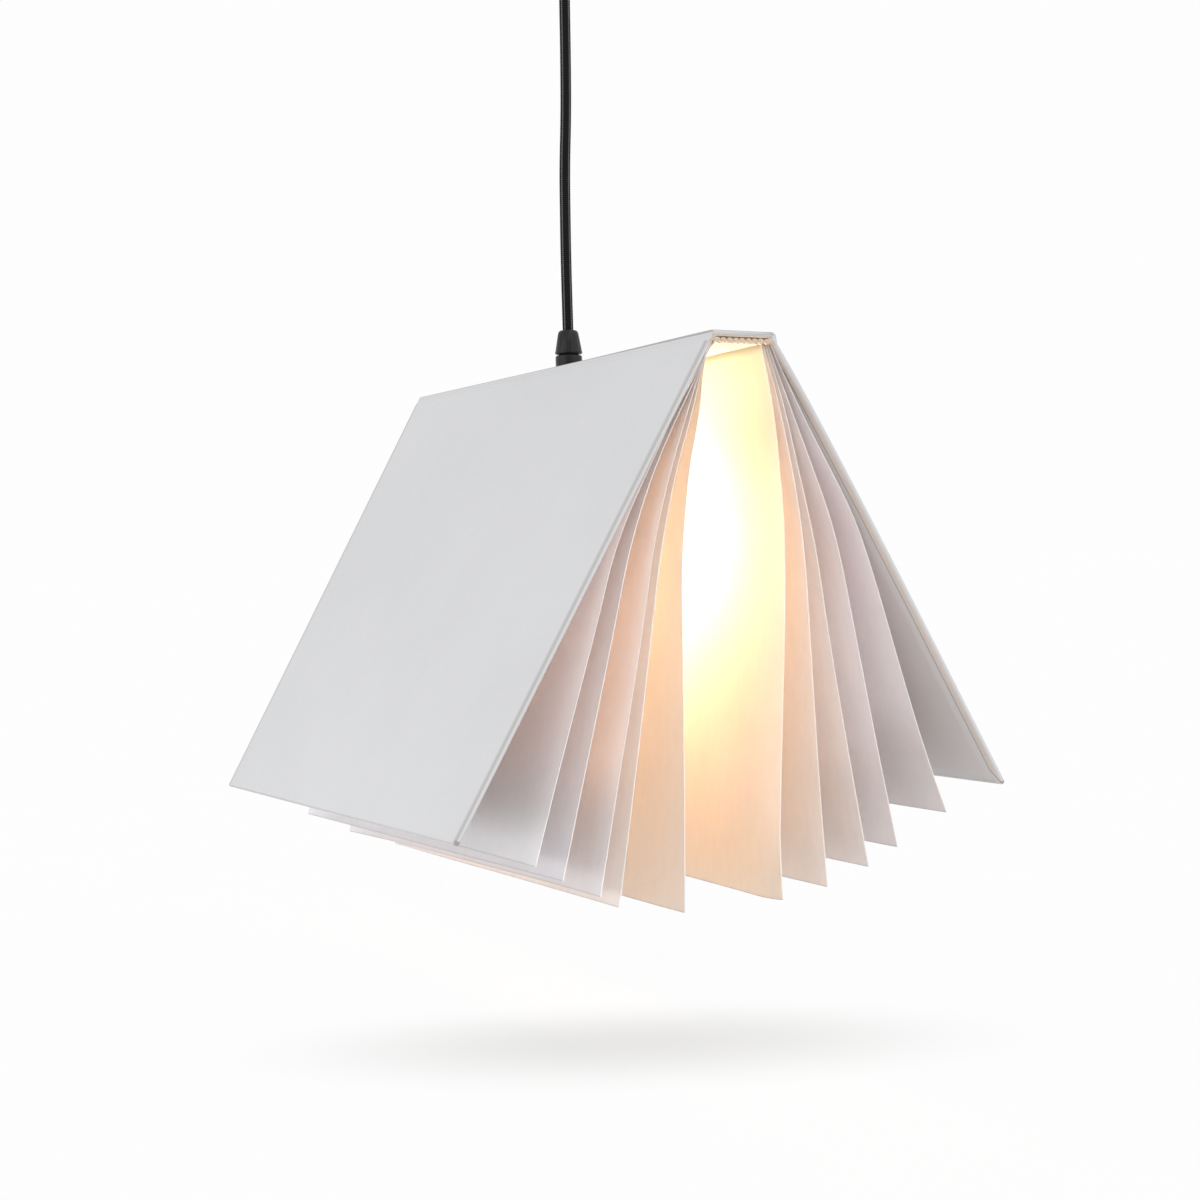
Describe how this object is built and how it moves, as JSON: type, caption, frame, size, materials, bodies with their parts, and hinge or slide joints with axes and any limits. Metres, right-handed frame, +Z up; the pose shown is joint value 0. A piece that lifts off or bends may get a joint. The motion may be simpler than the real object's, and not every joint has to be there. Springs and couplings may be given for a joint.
{
  "type": "pendant light",
  "caption": "Hanging lamp whose shade is an open hardcover book: hinged covers and creased translucent leaves round a screw-in bulb, on a textile cord from a ceiling cup.",
  "frame": {"origin": "middle of the ceiling fitting's mounting face", "axes": "+Z up into the ceiling, Y along the book's spine with -Y at the end nearer the camera in the picture, X across the covers"},
  "size_m": [0.305, 0.32, 0.53],
  "materials": {
    "fitting_paint": "satin black paint",
    "steel": "zinc plated",
    "black_plastic": "moulded, slightly satin",
    "white_plastic": "moulded",
    "cord_textile": "braided over two cores",
    "brown_core": "insulation",
    "rubber": "matt",
    "porcelain": "unglazed",
    "brass": "drawn",
    "bulb_glass": "opal, frosted inside",
    "bulb_post": "with light chips on its board",
    "cover_board": "grey board",
    "cover_cloth": "pale grey book cloth",
    "endpaper": "matt",
    "lining_paper": "matt cream",
    "leaf_paper": "translucent, matt",
    "band": "woven and padded"
  },
  "bodies": {
    "ceiling": {"ceiling_bracket": "steel", "ceiling_cup": "fitting_paint", "cup_screws": "steel", "cup_gland": "black_plastic", "gland_nut": "black_plastic", "terminal_block": "white_plastic", "terminal_screws": "brass", "cord_tail": "cord_textile", "ceiling_leads": "brown_core"},
    "pendant": {"power_cord": "cord_textile", "grip_cap": "black_plastic", "grip_body": "black_plastic", "grip_collet": "rubber", "threaded_nipple": "steel", "nipple_washer": "steel", "nipple_nut": "steel", "holder_cap": "black_plastic", "holder_skirt": "black_plastic", "contact_carrier": "porcelain", "screw_shell": "brass", "centre_contact": "brass", "core_wires": "brown_core", "bulb_globe": "bulb_glass", "bulb_cap": "brass", "bulb_tip": "brass", "bulb_light_post": "bulb_post"},
    "shade": {"spine_board": "cover_board", "spine_cloth": "cover_cloth", "spine_lining": "lining_paper", "spine_pad": "cover_board", "sheet_backs": "leaf_paper", "clamp_plate": "steel", "clamp_rivets": "steel", "headbands": "band", "left_joint_cloth": "cover_cloth", "right_joint_cloth": "cover_cloth"},
    "left_cover": {"left_cover_board": "cover_board", "left_cover_cloth": "cover_cloth", "left_endpaper": "endpaper"},
    "left_leaf_1": {"leaf_left_1": "leaf_paper"},
    "left_leaf_2": {"leaf_left_2": "leaf_paper"},
    "left_leaf_3": {"leaf_left_3": "leaf_paper"},
    "left_leaf_4": {"leaf_left_4": "leaf_paper"},
    "left_leaf_5": {"leaf_left_5": "leaf_paper"},
    "right_cover": {"right_cover_board": "cover_board", "right_cover_cloth": "cover_cloth", "right_endpaper": "endpaper"},
    "right_leaf_1": {"leaf_right_1": "leaf_paper"},
    "right_leaf_2": {"leaf_right_2": "leaf_paper"},
    "right_leaf_3": {"leaf_right_3": "leaf_paper"},
    "right_leaf_4": {"leaf_right_4": "leaf_paper"},
    "right_leaf_5": {"leaf_right_5": "leaf_paper"}
  },
  "joints": [
    {"name": "cord_swing", "type": "hinge", "parent": "ceiling", "child": "pendant", "pos_m": [0, 0, -0.031], "axis": [0, 1, 0], "range_deg": [-15, 15]},
    {"name": "shade_turn", "type": "hinge", "parent": "pendant", "child": "shade", "pos_m": [-0.0032, 0.0018, -0.262], "axis": [0, 0, 1], "continuous": true},
    {"name": "left_cover_hinge", "type": "hinge", "parent": "shade", "child": "left_cover", "pos_m": [-0.02026, 0.0002, -0.26387], "axis": [0, 1, 0], "range_deg": [-6, 50], "stiffness_Nm_per_rad": 0.25, "springref_deg": 27.66},
    {"name": "right_cover_hinge", "type": "hinge", "parent": "shade", "child": "right_cover", "pos_m": [0.01546, 0.0002, -0.26387], "axis": [0, -1, 0], "range_deg": [-6, 50], "stiffness_Nm_per_rad": 0.25, "springref_deg": 26.04},
    {"name": "left_leaf_1_crease", "type": "hinge", "parent": "shade", "child": "left_leaf_1", "pos_m": [-0.01809, 0.0002, -0.26616], "axis": [0, 1, 0], "range_deg": [-6.08, 49.2]},
    {"name": "left_leaf_2_crease", "type": "hinge", "parent": "shade", "child": "left_leaf_2", "pos_m": [-0.01774, 0.0002, -0.26673], "axis": [0, 1, 0], "range_deg": [-5.72, 46.2]},
    {"name": "left_leaf_3_crease", "type": "hinge", "parent": "shade", "child": "left_leaf_3", "pos_m": [-0.01739, 0.0002, -0.2673], "axis": [0, 1, 0], "range_deg": [-4.88, 39.2]},
    {"name": "left_leaf_4_crease", "type": "hinge", "parent": "shade", "child": "left_leaf_4", "pos_m": [-0.01704, 0.0002, -0.26787], "axis": [0, 1, 0], "range_deg": [-4.1, 32.7]},
    {"name": "left_leaf_5_crease", "type": "hinge", "parent": "shade", "child": "left_leaf_5", "pos_m": [-0.01669, 0.0002, -0.26844], "axis": [0, 1, 0], "range_deg": [-3.05, 23.95]},
    {"name": "right_leaf_1_crease", "type": "hinge", "parent": "shade", "child": "right_leaf_1", "pos_m": [0.01329, 0.0002, -0.26616], "axis": [0, -1, 0], "range_deg": [-5.9, 47.7]},
    {"name": "right_leaf_2_crease", "type": "hinge", "parent": "shade", "child": "right_leaf_2", "pos_m": [0.01294, 0.0002, -0.26673], "axis": [0, -1, 0], "range_deg": [-4.4, 35.2]},
    {"name": "right_leaf_3_crease", "type": "hinge", "parent": "shade", "child": "right_leaf_3", "pos_m": [0.01259, 0.0002, -0.2673], "axis": [0, -1, 0], "range_deg": [-3.11, 24.45]},
    {"name": "right_leaf_4_crease", "type": "hinge", "parent": "shade", "child": "right_leaf_4", "pos_m": [0.01224, 0.0002, -0.26787], "axis": [0, -1, 0], "range_deg": [-2.54, 19.7]},
    {"name": "right_leaf_5_crease", "type": "hinge", "parent": "shade", "child": "right_leaf_5", "pos_m": [0.01189, 0.0002, -0.26844], "axis": [0, -1, 0], "range_deg": [-1.31, 9.45]}
  ],
  "couplings": [
    {"joint": "left_leaf_1_crease", "follows": "left_cover_hinge", "ratio": 0.98},
    {"joint": "left_leaf_2_crease", "follows": "left_cover_hinge", "ratio": 0.92},
    {"joint": "left_leaf_3_crease", "follows": "left_cover_hinge", "ratio": 0.78},
    {"joint": "left_leaf_4_crease", "follows": "left_cover_hinge", "ratio": 0.65},
    {"joint": "left_leaf_5_crease", "follows": "left_cover_hinge", "ratio": 0.475},
    {"joint": "right_leaf_1_crease", "follows": "right_cover_hinge", "ratio": 0.95},
    {"joint": "right_leaf_2_crease", "follows": "right_cover_hinge", "ratio": 0.7},
    {"joint": "right_leaf_3_crease", "follows": "right_cover_hinge", "ratio": 0.485},
    {"joint": "right_leaf_4_crease", "follows": "right_cover_hinge", "ratio": 0.39},
    {"joint": "right_leaf_5_crease", "follows": "right_cover_hinge", "ratio": 0.185}
  ]
}
